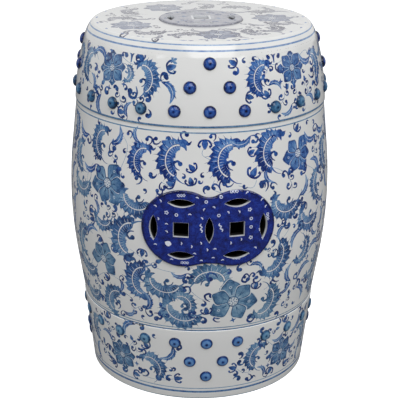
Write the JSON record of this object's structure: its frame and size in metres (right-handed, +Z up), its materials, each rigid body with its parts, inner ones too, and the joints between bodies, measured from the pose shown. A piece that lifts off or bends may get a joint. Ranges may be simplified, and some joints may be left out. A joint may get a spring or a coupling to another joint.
{
  "type": "garden stool",
  "caption": "Barrel-shaped glazed ceramic garden stool with studded bands, pierced double-coin side panels, a pierced coin in the seat and blue scroll painting on white.",
  "frame": {"origin": "on the floor under the centre of the stool", "axes": "+Z up along the stool's axis, -Y out of the front double-coin tile, +X to the right seen from the front"},
  "size_m": [0.3334, 0.3392, 0.459],
  "materials": {
    "white_glaze": "clear glaze over white clay, painted under the glaze",
    "cobalt_glaze": "deep cobalt under a clear glaze",
    "pale_blue_glaze": "thin cobalt wash under a clear glaze"
  },
  "bodies": {
    "root": {"foot_ring": "white_glaze", "lower_band": "white_glaze", "barrel": "white_glaze", "upper_band": "white_glaze", "seat": "white_glaze", "seat_coin": "cobalt_glaze", "front_coin_tile": "cobalt_glaze", "back_coin_tile": "cobalt_glaze", "upper_stud_ring": "cobalt_glaze", "lower_stud_ring": "pale_blue_glaze", "upper_stud_cluster_front": "cobalt_glaze", "upper_stud_cluster_right": "cobalt_glaze", "upper_stud_cluster_back": "cobalt_glaze", "upper_stud_cluster_left": "cobalt_glaze", "lower_stud_cluster_front": "pale_blue_glaze", "lower_stud_cluster_right": "pale_blue_glaze", "lower_stud_cluster_back": "pale_blue_glaze", "lower_stud_cluster_left": "pale_blue_glaze"}
  },
  "joints": []
}
